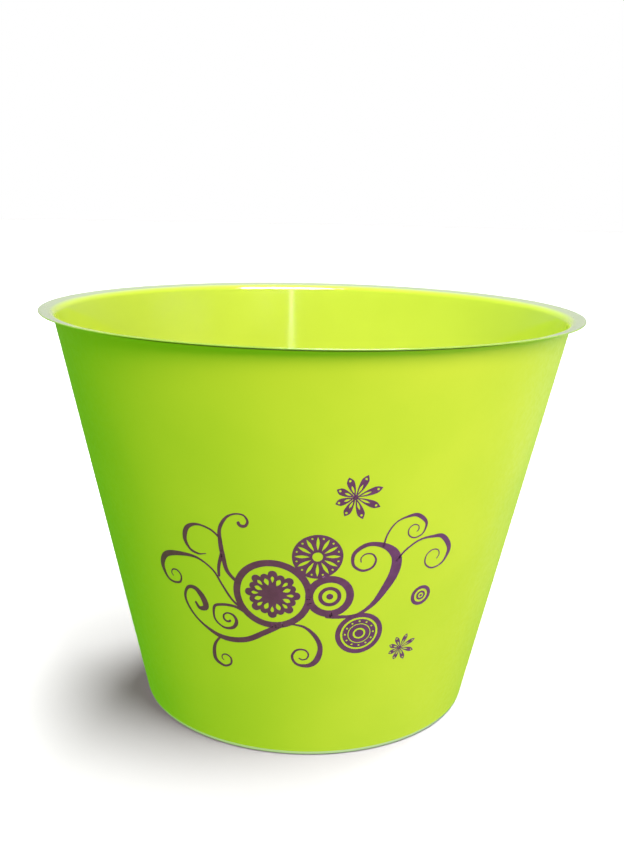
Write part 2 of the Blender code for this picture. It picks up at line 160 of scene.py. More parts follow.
def cook(source, tree, name, **values):
    """Runs a recipe on an object and returns the outcome as a plain mesh object of that name."""
    modifier = source.modifiers.new(tree.name, "NODES")
    modifier.node_group = tree
    for label, value in values.items():
        socket = tree.interface.items_tree[label.replace("_", " ").title()]
        modifier[socket.identifier] = value
    bpy.context.view_layer.update()
    graph = bpy.context.evaluated_depsgraph_get()
    mesh = bpy.data.meshes.new_from_object(source.evaluated_get(graph))
    bpy.data.objects.remove(source, do_unlink=True)
    mesh.name = name
    return new_object(name, mesh)


def turned_recipe():
    """Turns a section, drawn in X and Y from the rim's circle, through an arc about the Z axis."""
    r = Recipe("turned section", {"Radius": "Float", "Start": "Float", "Sweep": "Float", "Steps": "Int",
                                  "Caps": "Bool", "Material": "Material"})
    given = r.given
    section = r.add("GeometryNodeMeshToCurve", {"Mesh": given["Geometry"]})
    arc = r.add("GeometryNodeCurveArc", {"Resolution": given["Steps"], "Radius": given["Radius"],
                                         "Start Angle": given["Start"], "Sweep Angle": given["Sweep"]})
    outwards = r.add("GeometryNodeSetCurveNormal", {
        "Curve": arc.outputs[0], "Normal": r.add("GeometryNodeInputPosition").outputs[0]}, mode="FREE")
    wall = r.add("GeometryNodeCurveToMesh", {
        "Curve": outwards.outputs[0], "Profile Curve": section.outputs[0], "Fill Caps": given["Caps"]})
    closed = r.add("GeometryNodeMergeByDistance", {"Geometry": wall.outputs[0], "Distance": MERGE})
    return r.end(closed.outputs[0], given["Material"])


def ribbon_recipe():
    """Lays a flat stroke along a path, as wide as the path's radius says, and gives it its thickness."""
    r = Recipe("brush stroke", {"Thickness": "Float", "Material": "Material"})
    given = r.given
    across = r.add("GeometryNodeCurvePrimitiveLine", {"Start": (-1.0, 0.0, 0.0), "End": (1.0, 0.0, 0.0)})
    reach = r.add("GeometryNodeInputRadius").outputs[0]
    ribbon = r.add("GeometryNodeCurveToMesh", {
        "Curve": given["Geometry"], "Profile Curve": across.outputs[0], "Scale": reach})
    return r.end(thickened(r, ribbon.outputs[0], given["Thickness"]), given["Material"])


def thickened(r, sheet, thickness):
    """A flat sheet made a closed slab: its faces moved up, and a turned-over copy left below."""
    above = r.add("GeometryNodeExtrudeMesh", {
        "Mesh": sheet, "Offset": (0.0, 0.0, 1.0), "Offset Scale": thickness, "Individual": False})
    below = r.add("GeometryNodeFlipFaces", {"Mesh": sheet})
    both = r.add("GeometryNodeJoinGeometry")
    for part in (below.outputs[0], above.outputs[0]):
        r.tree.links.new(part, both.inputs[0])
    slab = r.add("GeometryNodeMergeByDistance", {"Geometry": both.outputs[0], "Distance": MERGE})
    return slab.outputs[0]


def pierced_recipe():
    """Fills a drawn outline, less a small shape repeated round a centre, and gives it its thickness."""
    r = Recipe("pierced patch", {"Shape": "Object", "Count": "Int", "Centre": "Vector", "Turn": "Float",
                                 "Thickness": "Float", "Material": "Material"})
    given = r.given
    shape = r.add("GeometryNodeObjectInfo", {"Object": given["Shape"]})
    spots = r.add("GeometryNodePoints", {"Count": given["Count"], "Position": given["Centre"]})
    index = r.add("GeometryNodeInputIndex").outputs[0]
    step = r.maths("DIVIDE", math.tau, given["Count"])
    angle = r.maths("ADD", r.maths("MULTIPLY", index, step), given["Turn"])
    spin = r.add("ShaderNodeCombineXYZ", {"Z": angle})
    copies = r.add("GeometryNodeInstanceOnPoints", {
        "Points": spots.outputs[0], "Instance": shape.outputs["Geometry"], "Rotation": spin.outputs[0]})
    real = r.add("GeometryNodeRealizeInstances", {"Geometry": copies.outputs[0]})
    outlines = r.add("GeometryNodeJoinGeometry")
    for part in (real.outputs[0], given["Geometry"]):
        r.tree.links.new(part, outlines.inputs[0])
    filled = r.add("GeometryNodeFillCurve", {"Curve": outlines.outputs[0]})
    return r.end(thickened(r, filled.outputs[0], given["Thickness"]), given["Material"])


def rolling_recipe():
    """Rolls a flat sheet on to the wall's cone: lengths on the film stay as they were drawn."""
    r = Recipe("roll on wall", {"Apex": "Float", "Tilt": "Float", "Height": "Float", "Lift": "Float",
                                "Material": "Material"})
    given = r.given
    flat = r.add("ShaderNodeSeparateXYZ", {0: r.add("GeometryNodeInputPosition").outputs[0]}).outputs
    slant = r.maths("ADD", flat["Y"], given["Apex"])
    sine, cosine = r.maths("SINE", given["Tilt"]), r.maths("COSINE", given["Tilt"])
    across_squared = r.maths("MULTIPLY", flat["X"], flat["X"])
    distance = r.maths("SQRT", r.maths("MULTIPLY_ADD", slant, slant, across_squared))
    angle = r.maths("DIVIDE", r.maths("ARCTAN2", flat["X"], slant), sine)
    out = r.maths("ADD", flat["Z"], given["Lift"])
    radius = r.maths("MULTIPLY_ADD", distance, sine, r.maths("MULTIPLY", out, cosine))
    along = r.maths("SUBTRACT", distance, given["Apex"])
    height = r.maths("MULTIPLY_ADD", along, cosine, given["Height"])
    height = r.maths("SUBTRACT", height, r.maths("MULTIPLY", out, sine))
    place = r.add("ShaderNodeCombineXYZ", {
        "X": r.maths("MULTIPLY", radius, r.maths("SINE", angle)),
        "Y": r.maths("MULTIPLY", radius, r.maths("MULTIPLY", r.maths("COSINE", angle), -1.0)),
        "Z": height})
    moved = r.add("GeometryNodeSetPosition", {"Geometry": given["Geometry"], "Position": place.outputs[0]})
    return r.end(moved.outputs[0], given["Material"])


# ================================================================ materials

# Each mottled colour is a pair that is mixed in soft clouds.
LIME = ((0.41, 0.49, 0.028, 1.0), (0.44, 0.52, 0.034, 1.0))
FILM_GREEN = ((0.48, 0.53, 0.033, 1.0), (0.52, 0.55, 0.037, 1.0))
AUBERGINE = ((0.120, 0.026, 0.100, 1.0), (0.150, 0.034, 0.125, 1.0))
# Natural plastic for the lip and foot, made paler as painted light: backdrop light through the thin lip,
# floor bounce on the shaded foot.
PALE_PLASTIC_AND_PAINTED_LIGHT = (0.31, 0.34, 0.21, 1.0)
# Painted shade: the rim's rounded edge is darkened to a deep lime so that it shows no bright lit line.
LIP_EDGE_PAINTED_SHADE = (0.22, 0.32, 0.04, 1.0)
WHITE = (1.0, 1.0, 1.0, 1.0)
BLACK = (0.0, 0.0, 0.0, 1.0)

LIP_FADE = 3.5 * MM                           # the lime turns pale over this much of the bend into the lip
EDGE_SHADE_FADE = (0.5 * MM, 0.2 * MM)              # the painted shade on the edge starts and is full this far from the rim
FOOT_FADE = 0.3 * MM                          # the pale foot turns lime just below the film


class Finish:
    """A material while it is being written, with its Principled shader."""

    def __init__(self, name, **sockets):
        self.material = bpy.data.materials.new(name)
        self.material.use_nodes = True
        self.tree = self.material.node_tree
        self.shader = self.tree.nodes["Principled BSDF"]
        for label, value in sockets.items():
            self.shader.inputs[label.replace("_", " ")].default_value = value

    def add(self, kind, inputs=None, **settings):
        return new_node(self.tree, kind, inputs, settings)

    def maths(self, operation, *values):
        return self.add("ShaderNodeMath", dict(enumerate(values)), operation=operation).outputs[0]

    def place(self):
        """The point's place in the bucket's own frame."""
        return self.add("ShaderNodeTexCoord").outputs["Object"]

    def noise(self, scale, detail=2.0, stretch=(1.0, 1.0, 1.0)):
        point = self.add("ShaderNodeMapping", {"Vector": self.place(), "Scale": stretch}).outputs[0]
        cloud = self.add("ShaderNodeTexNoise", {"Vector": point, "Scale": scale, "Detail": detail})
        return cloud.outputs["Fac"]

    def between(self, value, low, high, out_low=0.0, out_high=1.0):
        """A value eased from one range to another."""
        node = self.add("ShaderNodeMapRange", {
            "Value": value, "From Min": low, "From Max": high, "To Min": out_low, "To Max": out_high},
            interpolation_type="SMOOTHSTEP")
        return node.outputs[0]

    def mix(self, share, a, b):
        """A colour between two; a colour mix has its share, colours and result at these places."""
        return self.add("ShaderNodeMix", {0: share, 6: a, 7: b}, data_type="RGBA").outputs[2]

    def clouded(self, colours, scale):
        """A pair of colours mixed in soft clouds."""
        return self.mix(self.between(self.noise(scale, 3.0), 0.3, 0.7), *colours)

    def feed(self, socket, value):
        self.tree.links.new(value, self.shader.inputs[socket])

    def bump(self, height, strength, distance):
        node = self.add("ShaderNodeBump", {"Height": height, "Strength": strength, "Distance": distance})
        self.feed("Normal", node.outputs[0])


def lime_plastic():
    """Glossy lime polypropylene, a little wavy as a thin moulding is, pale at its lip and foot and deeper
    lime on the rim's edge. The pale is natural plastic brightened with painted light (light through the thin
    lip, floor bounce on the foot); the edge colour is painted shade.
    """
    f = Finish("lime_plastic")
    wall = f.clouded(LIME, 14.0)
    place = f.add("ShaderNodeSeparateXYZ", {"Vector": f.place()}).outputs
    side_squared = f.maths("MULTIPLY", place["Y"], place["Y"])
    radius = f.maths("SQRT", f.maths("MULTIPLY_ADD", place["X"], place["X"], side_squared))
    lip_start = lip_layout()[0]
    # The lip and foot take the pale colour: partly natural plastic, partly painted light through the lip and
    # painted floor bounce on the foot.
    on_lip = f.between(radius, lip_start, lip_start + LIP_FADE)
    # Painted shade on the rim's rounded edge, which turns a deeper lime.
    painted_edge_shade = f.between(radius, RIM_RADIUS - EDGE_SHADE_FADE[0], RIM_RADIUS - EDGE_SHADE_FADE[1])
    above_foot = f.between(place["Z"], FILM_BASE - FOOT_FADE, FILM_BASE)
    lip = f.mix(painted_edge_shade, PALE_PLASTIC_AND_PAINTED_LIGHT, LIP_EDGE_PAINTED_SHADE)
    f.feed("Base Color", f.mix(above_foot, PALE_PLASTIC_AND_PAINTED_LIGHT, f.mix(on_lip, wall, lip)))
    f.feed("Roughness", f.between(f.noise(60.0, 3.0), 0.3, 0.7, 0.07, 0.13))
    f.bump(f.noise(16.0, 1.0, (1.0, 1.0, 0.6)), 0.35, 1.2 * MM)
    return f.material


def green_film():
    """Satin lime film with a faint paper-like grain."""
    f = Finish("green_film", Specular_IOR_Level=0.20)
    f.feed("Base Color", f.clouded(FILM_GREEN, 22.0))
    f.feed("Roughness", f.between(f.noise(420.0, 3.0), 0.3, 0.7, 0.36, 0.48))
    f.bump(f.noise(2600.0), 0.08, 0.05 * MM)
    return f.material


def purple_ink():
    """Aubergine screen ink with a slight mottle in its cover."""
    f = Finish("purple_ink", Roughness=0.42, Specular_IOR_Level=0.3)
    f.feed("Base Color", f.clouded(AUBERGINE, 300.0))
    f.bump(f.noise(2600.0), 0.08, 0.05 * MM)
    return f.material


def stage_finish(name, base, glow, strength):
    """A matt finish that also glows by itself."""
    return Finish(name, Roughness=1.0, Specular_IOR_Level=0.0, Base_Color=base, Emission_Color=glow,
                  Emission_Strength=strength).material


# ================================================================ turned pieces

def bend(start, radius, heading, end_heading, steps=10):
    """Points of an arc that starts at a point and turns between two headings; the start is left out."""
    turn = end_heading - heading
    side = 1.0 if turn > 0 else -1.0
    centre = (start[0] - side * radius * math.sin(heading), start[1] + side * radius * math.cos(heading))
    points = []
    for step in range(1, steps + 1):
        now = heading + turn * step / steps
        points.append((centre[0] + side * radius * math.sin(now), centre[1] - side * radius * math.cos(now)))
    return points


def run(a, b, steps):
    """Points on the straight from a to b, both left out."""
    return [(a[0] + (b[0] - a[0]) * i / steps, a[1] + (b[1] - a[1]) * i / steps) for i in range(1, steps)]


def lip_layout():
    """Radius and height where the lip's centre line starts to bend, and its straight run to the edge."""
    wall_middle = -FILM - FILM_GAP - WALL / 2
    edge_height = HEIGHT - LIP_THICKNESS / 2
    rise = LIP_FILLET * (math.cos(LIP_RISE) - math.cos(UPHILL))
    reach = LIP_FILLET * (math.sin(UPHILL) - math.sin(LIP_RISE))
    short_of_edge = RIM_RADIUS - LIP_THICKNESS / 2 - wall_radius(edge_height - rise, wall_middle) - reach
    straight = short_of_edge / (math.cos(LIP_RISE) - SLOPE * math.sin(LIP_RISE))
    height = edge_height - rise - straight * math.sin(LIP_RISE)
    return wall_radius(height, wall_middle), height, straight


def lip_face(offset):
    """The lip from wall to edge along the face that lies this far to the left of its centre line."""
    radius, height, straight = lip_layout()
    start = (radius - offset * math.sin(UPHILL), height + offset * math.cos(UPHILL))
    arc = bend(start, LIP_FILLET + offset, UPHILL, LIP_RISE, LIP_STEPS)
    end = (arc[-1][0] + straight * math.cos(LIP_RISE), arc[-1][1] + straight * math.sin(LIP_RISE))
    return [start] + arc + run(arc[-1], end, 3) + [end]


def film_top(out):
    """The film's face from where the wall starts to bend, up round the first of the bend."""
    radius, height, straight = lip_layout()
    offset = WALL / 2 + FILM_GAP + FILM + out
    start = (radius + offset * math.sin(UPHILL), height - offset * math.cos(UPHILL))
    return [start] + bend(start, LIP_FILLET - offset, UPHILL, UPHILL - FILM_TURN, EDGE_STEPS)


def moulding_section():
    """Half section of the moulding, from the floor's middle up the inside, over the lip and back below."""
    wall_out = -FILM - FILM_GAP
    floor_top = FOOT_DEPTH + FLOOR
    fillet_run = CORNER * math.tan(UPHILL / 2)
    inner = (wall_radius(floor_top, wall_out - WALL) - fillet_run, floor_top)
    outer_height = fillet_run * math.cos(TILT)
    outer = (wall_radius(outer_height, wall_out), outer_height)
    inner_corner = bend(inner, CORNER, 0.0, UPHILL)
    outer_corner = bend(outer, CORNER, UPHILL - math.pi, -math.pi)
    upper = lip_face(LIP_THICKNESS / 2)
    lower = lip_face(-LIP_THICKNESS / 2)
    foot = outer_corner[-1][0] - FOOT_WIDTH
    section = [(0.0, floor_top)] + run((0.0, floor_top), inner, FLOOR_STEPS) + [inner] + inner_corner
    section += run(inner_corner[-1], upper[0], WALL_STEPS) + upper
    section += bend(upper[-1], LIP_THICKNESS / 2, LIP_RISE, LIP_RISE - math.pi, EDGE_STEPS)[:-1]
    section += lower[::-1] + run(lower[0], outer, WALL_STEPS) + [outer] + outer_corner
    section += [(foot, 0.0), (foot - FOOT_CHAMFER[0], FOOT_CHAMFER[1]), (foot - FOOT_DRAFT, FOOT_DEPTH)]
    section += [(GATE_RADIUS, FOOT_DEPTH), (GATE_RADIUS, FOOT_DEPTH - GATE_HEIGHT)]
    return section + [(0.0, FOOT_DEPTH - GATE_HEIGHT)]


def section_object(points, closed):
    """A section as bare edges, measured outwards and down from the rim's circle."""
    mesh = bpy.data.meshes.new("section")
    edges = [(i, i + 1) for i in range(len(points) - 1)]
    if closed:
        edges.append((len(points) - 1, 0))
    mesh.from_pydata([(radius - RIM_RADIUS, -height, 0.0) for radius, height in points], edges, [])
    return new_object("section", mesh)


def tidy_mesh(piece):
    """Closes what a hair leaves open, faces everything outwards and shades it smooth between real edges."""
    shape = bmesh.new()
    shape.from_mesh(piece.data)
    bmesh.ops.remove_doubles(shape, verts=shape.verts, dist=WELD)
    bmesh.ops.dissolve_degenerate(shape, dist=SLIVER, edges=shape.edges)
    bmesh.ops.recalc_face_normals(shape, faces=shape.faces)
    shape.to_mesh(piece.data)
    shape.free()
    piece.data.shade_smooth()
    piece.data.set_sharp_from_angle(angle=SHARP)


def make_moulding(turned, plastic):
    piece = cook(section_object(moulding_section(), False), turned, "bucket_moulding", radius=RIM_RADIUS,
                 start=0.0, sweep=math.tau, steps=TURN_STEPS, caps=False, material=plastic)
    tidy_mesh(piece)
    return piece


def make_film(turned, finish):
    """The film's section turned almost all the way round: its two ends meet at the back."""
    faces = []
    for out in (0.0, -FILM):
        base = (wall_radius(FILM_BASE, out), FILM_BASE)
        top = film_top(out)
        faces.append([base] + run(base, top[0], FILM_STEPS) + top)
    section = faces[0] + faces[1][::-1]
    gap = SEAM_GAP / FILM_BASE_RADIUS
    piece = cook(section_object(section, True), turned, "film_sleeve", radius=RIM_RADIUS,
                 start=math.pi / 2 + gap / 2, sweep=math.tau - gap, steps=TURN_STEPS, caps=True,
                 material=finish)
    tidy_mesh(piece)
    return piece


# ================================================================ the drawing, flat, in millimetres

def circle(centre, radius, step=0.5):
    count = max(16, 4 * round(math.tau * radius / step / 4))
    turns = [math.tau * i / count for i in range(count)]
    return [(centre[0] + radius * math.cos(a), centre[1] + radius * math.sin(a)) for a in turns]


def spiral(eye, radii, start, sweep, count=7):
    """Points that wind round an eye while the distance shrinks in proportion; angles in degrees."""
    points = []
    for i in range(count):
        share = i / (count - 1)
        radius = radii[0] * (radii[1] / radii[0]) ** share
        angle = math.radians(start + sweep * share)
        points.append((eye[0] + radius * math.cos(angle), eye[1] + radius * math.sin(angle)))
    return points


def smooth_path(knots, step):
    """A Catmull-Rom curve through the knots, with a point about every step."""
    ends = [knots[0]] + list(knots) + [knots[-1]]
    path = []
    for a, b, c, d in zip(ends, ends[1:], ends[2:], ends[3:]):
        pieces = max(2, round(math.dist(b, c) / step))
        for i in range(pieces):
            t = i / pieces
            weights = ((-t + 2 * t * t - t ** 3) / 2, (2 - 5 * t * t + 3 * t ** 3) / 2,
                       (t + 4 * t * t - 3 * t ** 3) / 2, (t ** 3 - t * t) / 2)
            path.append(tuple(sum(w * p[k] for w, p in zip(weights, (a, b, c, d))) for k in (0, 1)))
    return path + [knots[-1]]


def width_at(widths, share):
    """Width of a stroke at a share of its length, eased between the (share, width) stops."""
    for (s0, w0), (s1, w1) in zip(widths, widths[1:]):
        if share <= s1:
            ease = (1.0 - math.cos(math.pi * (share - s0) / (s1 - s0))) / 2
            return w0 + (w1 - w0) * ease
    return widths[-1][1]


def leaf(near, far, width, fullest, count=10):
    """Outline of a petal or slot along +X that is fullest at a share of its length."""
    left, right = [], []
    for i in range(count + 1):
        share = i / count
        lift = share / fullest if share < fullest else (1.0 - share) / (1.0 - fullest)
        half = width / 2 * math.sin(math.pi / 2 * lift)
        left.append((near + (far - near) * share, half))
        right.append((near + (far - near) * share, -half))
    return left + right[-2:0:-1]


def turned_to(outline, centre, angle):
    """An outline along +X turned about the origin and moved to a centre."""
    c, s = math.cos(angle), math.sin(angle)
    return [(centre[0] + x * c - y * s, centre[1] + x * s + y * c) for x, y in outline]


# Centres on the film, and each round band's outer and inner radius.
RING_CENTRE = (-13.7, 1.3)
RING = (16.4, 13.4)
DAISY_CENTRE = (4.2, 20.1)
DAISY = (10.2, 2.1)
TARGET_CENTRE = (9.5, 1.2)
TARGET_RIM = (9.9, 6.7)
TARGET_RING = (4.7, 3.1)
TARGET_DOT = 1.4
MEDALLION_CENTRE = (22.3, -18.1)
MEDALLION_RIM = (10.1, 8.0)
MEDALLION_BAND = (7.1, 4.9)
MEDALLION_RING = (4.5, 2.7)
MEDALLION_DOT = 1.9
OVAL_CENTRE = (49.6, -5.4)
OVAL_RIM = (4.8, 3.2)
OVAL_RING = (2.2, 1.3)
OVAL_DOT = 0.6

# Slots: nearest and furthest point from the middle, width, and where along they are fullest, as a share.
DAISY_SLOTS = 12
DAISY_SLOT = (3.0, 9.2, 1.3, 0.55)
ROSETTE_LONG_SLOT = (5.7, 8.7, 1.4, 0.7)
ROSETTE_SHORT_SLOT = (4.5, 8.0, 1.9, 0.62)

# Pierced dots: how far from the middle, and their radius.
DAISY_DOTS = (8.6, 0.42)
BAND_DOTS = (6.0, 0.42)
BAND_DOT_COUNT = 12
FINE_STEP = 0.2                               # millimetres between two points round a small dot

# The rosette: a disc edged with long and short petals in turn, each with a round end.
ROSETTE_PETALS = 16
ROSETTE_STEPS = 14                            # points along each petal's end
ROSETTE_BODY = 8.6
ROSETTE_LONG_PETAL = (9.5, 1.9)               # middle and radius of its round end
ROSETTE_SHORT_PETAL = (8.5, 1.7)

# The loose flowers, at full size.
LARGE_FLOWER_CENTRE = (18.3, 46.5)
SMALL_FLOWER_CENTRE = (41.3, -29.9)
SMALL_FLOWER_SCALE = 0.68
FLOWER_PETALS = 8
FLOWER_TURN = math.radians(18)
FLOWER_HUB = 1.2
PETAL_REACH = 9.9                             # a petal's middle length
PETAL_SPREAD = 1.7                            # how much longer the petals on the right are
PETAL_NEAR = 0.2
PETAL_WIDTH = 3.1
PETAL_FULLEST = 0.72
PETAL_SLOT = (1.9, 0.58, 0.9, 0.6)            # start, end as a share of the petal, width, fullest share
PETAL_DOT = (0.82, 0.5)                       # its place as a share of the petal, and its radius


def rosette_reach(angle):
    """How far the rosette reaches at an angle."""
    reach = ROSETTE_BODY
    for i in range(ROSETTE_PETALS):
        middle, size = ROSETTE_SHORT_PETAL if i % 2 else ROSETTE_LONG_PETAL
        apart = angle - math.tau * i / ROSETTE_PETALS
        under_root = size ** 2 - (middle * math.sin(apart)) ** 2
        if under_root > 0 and math.cos(apart) > 0:
            reach = max(reach, middle * math.cos(apart) + math.sqrt(under_root))
    return reach


def scrolls():
    """The brush strokes: each is a stem of a few knots, most with a spiral at its end, and its widths."""
    top_curl = [(-28.0, 4.5), (-32.6, 9.2), (-34.4, 16.0), (-35.4, 22.0), (-35.6, 28.5), (-33.0, 34.0)]
    top_curl += spiral((-26.4, 33.3), (4.4, 1.1), 132, -330)
    side_branch = [(-36.3, 5.6), (-36.4, 10.0), (-35.6, 14.5), (-34.8, 19.0)]
    hook = [(-35.3, 24.0), (-39.6, 27.2), (-45.8, 28.1), (-50.6, 25.2), (-51.9, 19.5), (-49.4, 15.2)]
    hook += [(-45.3, 14.2), (-41.8, 15.4)]
    far_curl = [(-26.0, -8.0), (-30.6, -4.4), (-34.8, 1.6), (-39.2, 8.2), (-46.6, 12.0), (-55.6, 11.0)]
    far_curl += [(-62.6, 7.8), (-65.0, 2.0), (-62.9, -3.2)]
    far_curl += spiral((-58.1, -0.4), (4.6, 1.6), -110, 350)
    great_arc = [(-9.0, -12.6), (-16.4, -17.6), (-25.0, -23.0), (-34.6, -24.5), (-43.2, -21.6)]
    great_arc += [(-49.6, -16.8), (-53.2, -10.4), (-51.8, -4.8), (-48.0, -3.6), (-44.4, -7.0)]
    great_arc += [(-43.0, -11.4), (-46.0, -13.0), (-48.2, -10.2)]
    inner_curl = [(-24.4, -9.6), (-29.6, -7.4), (-35.4, -7.9)]
    inner_curl += spiral((-32.7, -14.2), (7.5, 1.2), 146, 560, 12)
    low_curl = [(-36.4, -24.6), (-38.9, -28.8), (-39.6, -33.4)]
    low_curl += spiral((-34.4, -35.3), (4.8, 1.3), 206, 400, 8)
    bottom_curl = [(-6.0, -12.4), (-0.4, -13.8), (4.2, -18.6), (6.2, -24.4), (4.8, -30.4)]
    bottom_curl += spiral((-1.2, -28.2), (5.6, 1.8), -62, -440, 9)
    arm = [(7.6, -8.2), (14.0, -9.0), (21.0, -8.6), (27.4, -4.4), (32.4, 2.4), (36.0, 9.2), (36.9, 15.6)]
    arm += [(34.4, 20.6), (29.4, 23.9)]
    arm += spiral((24.0, 17.3), (7.2, 2.4), 92, 470, 10)
    upper_tendril = [(30.6, 22.4), (32.3, 28.6), (36.0, 33.4), (41.6, 35.1)]
    upper_tendril += spiral((44.2, 28.2), (6.4, 1.5), 78, -500, 10)
    lower_tendril = [(36.6, 14.6), (40.6, 19.2), (46.8, 22.6), (53.2, 22.6)]
    lower_tendril += spiral((54.6, 12.6), (9.2, 2.2), 66, -480, 10)
    return [
        (top_curl, [(0.0, 1.5), (0.3, 2.1), (0.55, 1.5), (0.75, 0.7), (1.0, 1.5)]),
        (side_branch, [(0.0, 1.2), (0.6, 1.5), (1.0, 1.0)]),
        (hook, [(0.0, 1.0), (0.25, 0.9), (0.55, 2.2), (0.8, 1.2), (1.0, 0.4)]),
        (far_curl, [(0.0, 1.1), (0.3, 0.9), (0.6, 2.7), (0.78, 1.1), (0.9, 0.8), (1.0, 0.5)]),
        (great_arc, [(0.0, 2.4), (0.3, 2.6), (0.55, 1.0), (0.7, 1.3), (0.88, 3.0), (1.0, 1.2)]),
        (inner_curl, [(0.0, 1.3), (0.25, 1.3), (0.5, 0.9), (0.68, 1.6), (0.85, 0.8), (1.0, 1.1)]),
        (low_curl, [(0.0, 1.0), (0.35, 1.8), (0.7, 0.9), (1.0, 0.5)]),
        (bottom_curl, [(0.0, 0.9), (0.3, 2.0), (0.45, 2.6), (0.65, 1.1), (1.0, 0.6)]),
        (arm, [(0.0, 2.0), (0.12, 1.4), (0.42, 4.6), (0.62, 1.9), (0.8, 1.1), (1.0, 0.5)]),
        (upper_tendril, [(0.0, 0.8), (0.25, 0.7), (0.45, 1.8), (0.65, 0.7), (1.0, 0.5)]),
        (lower_tendril, [(0.0, 0.9), (0.2, 0.9), (0.45, 2.4), (0.65, 0.8), (1.0, 0.5)]),
    ]


# ================================================================ ink: flat slabs, joined, then rolled on

def drawn(outlines, name="outline"):
    """Outlines in millimetres as one flat curve object of closed splines in metres."""
    curve = bpy.data.curves.new(name, "CURVE")
    curve.dimensions = "3D"
    for outline in outlines:
        spline = curve.splines.new("POLY")
        spline.points.add(len(outline) - 1)
        for point, (x, y) in zip(spline.points, outline):
            point.co = (x * MM, y * MM, 0.0, 1.0)
        spline.use_cyclic_u = True
    return new_object(name, curve)


class Print:
    """Cuts slabs of ink from the drawing and lays them on the wall."""

    def __init__(self, ink):
        self.ink = ink
        self.pierced = pierced_recipe()
        self.ribbon = ribbon_recipe()
        self.rolling = rolling_recipe()

    def slab(self, outlines, shape=None, count=0, centre=(0.0, 0.0), turn=0.0):
        """A flat slab inside its outlines, pierced by a shape repeated round a centre."""
        cutter = drawn([shape or circle((0.0, 0.0), 1.0)], "cutter")
        piece = cook(drawn(outlines), self.pierced, "slab", shape=cutter, count=count,
                     centre=(centre[0] * MM, centre[1] * MM, 0.0), turn=turn, thickness=INK,
                     material=self.ink)
        bpy.data.objects.remove(cutter, do_unlink=True)
        tidy_mesh(piece)
        return piece

    def stroke(self, knots, widths):
        """A flat brush stroke with round ends."""
        path = smooth_path(knots, STROKE_STEP)
        lengths = [0.0]
        for a, b in zip(path, path[1:]):
            lengths.append(lengths[-1] + math.dist(a, b))
        curve = bpy.data.curves.new("path", "CURVE")
        curve.dimensions = "3D"
        curve.twist_mode = "Z_UP"
        spline = curve.splines.new("POLY")
        spline.points.add(len(path) - 1)
        for point, place, length in zip(spline.points, path, lengths):
            half = width_at(widths, length / lengths[-1]) / 2
            from_end = min(length, lengths[-1] - length)
            round_end = math.sqrt(max(1.0 - (1.0 - min(from_end / half, 1.0)) ** 2, 0.02))
            point.co = (place[0] * MM, place[1] * MM, 0.0, 1.0)
            point.radius = half * round_end * MM
        piece = cook(new_object("path", curve), self.ribbon, "stroke", thickness=INK, material=self.ink)
        tidy_mesh(piece)
        return piece

    def joined(self, slabs):
        """One slab from several that overlap."""
        first = slabs[0]
        for other in slabs[1:]:
            union = first.modifiers.new("join", "BOOLEAN")
            union.operation = "UNION"
            union.solver = "EXACT"
            union.object = other
        bpy.context.view_layer.update()
        mesh = bpy.data.meshes.new_from_object(first.evaluated_get(bpy.context.evaluated_depsgraph_get()))
        for slab in slabs:
            bpy.data.objects.remove(slab, do_unlink=True)
        return new_object("slab", mesh)

    def lay(self, slab, name, node):
        """Cuts a slab in strips that can bend, rolls it on the wall and lets it stand for its CAD node."""
        shape = bmesh.new()
        shape.from_mesh(slab.data)
        left = math.floor(min(p.co.x for p in shape.verts) / STRIP)
        right = math.ceil(max(p.co.x for p in shape.verts) / STRIP)
        for i in range(left, right + 1):
            everything = shape.verts[:] + shape.edges[:] + shape.faces[:]
            bmesh.ops.bisect_plane(shape, geom=everything, plane_co=(i * STRIP, 0, 0), plane_no=(1, 0, 0),
                                   dist=WELD)
        bmesh.ops.triangulate(shape, faces=[f for f in shape.faces if len(f.verts) > 4])
        shape.to_mesh(slab.data)
        shape.free()
        print_radius = wall_radius(PRINT_HEIGHT)
        piece = cook(slab, self.rolling, name, apex=print_radius / math.sin(TILT), tilt=TILT,
                     height=PRINT_HEIGHT, lift=INK_GAP, material=self.ink)
        tidy_mesh(piece)
        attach(piece, "root")
        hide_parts(node)
        return piece

    def disc(self, name, centre, outer, inner=None):
        outlines = [circle(centre, outer)]
        if inner:
            outlines.append(circle(centre, inner))
        return self.lay(self.slab(outlines), name, name.replace("ink_", "print_"))

    def flower(self, name, centre, scale):
        """Eight petals of uneven length round a hub, each with a slot and a dot."""
        slot_near, slot_share, slot_width, slot_fullest = PETAL_SLOT
        dot_share, dot_radius = PETAL_DOT
        slabs = [self.slab([circle(centre, FLOWER_HUB * scale)])]
        for i in range(FLOWER_PETALS):
            angle = math.tau * i / FLOWER_PETALS + FLOWER_TURN
            reach = (PETAL_REACH + PETAL_SPREAD * math.cos(angle)) * scale
            petal = leaf(PETAL_NEAR * scale, reach, PETAL_WIDTH * scale, PETAL_FULLEST, 16)
            slot = leaf(slot_near * scale, reach * slot_share, slot_width * scale, slot_fullest, 8)
            dot = circle((reach * dot_share, 0.0), dot_radius * scale, FINE_STEP)
            slabs.append(self.slab([turned_to(line, centre, angle) for line in (petal, slot, dot)]))
        return self.lay(self.joined(slabs), name, name.replace("ink_", "print_"))

    def daisy(self):
        """A disc with an open hub, a ring of slots and a dot between every two."""
        outlines = [circle(DAISY_CENTRE, DAISY[0]), circle(DAISY_CENTRE, DAISY[1])]
        dot = circle((DAISY_DOTS[0], 0.0), DAISY_DOTS[1], FINE_STEP)
        for i in range(DAISY_SLOTS):
            outlines.append(turned_to(dot, DAISY_CENTRE, math.tau * (i + 0.5) / DAISY_SLOTS))
        return self.slab(outlines, leaf(*DAISY_SLOT), DAISY_SLOTS, DAISY_CENTRE)

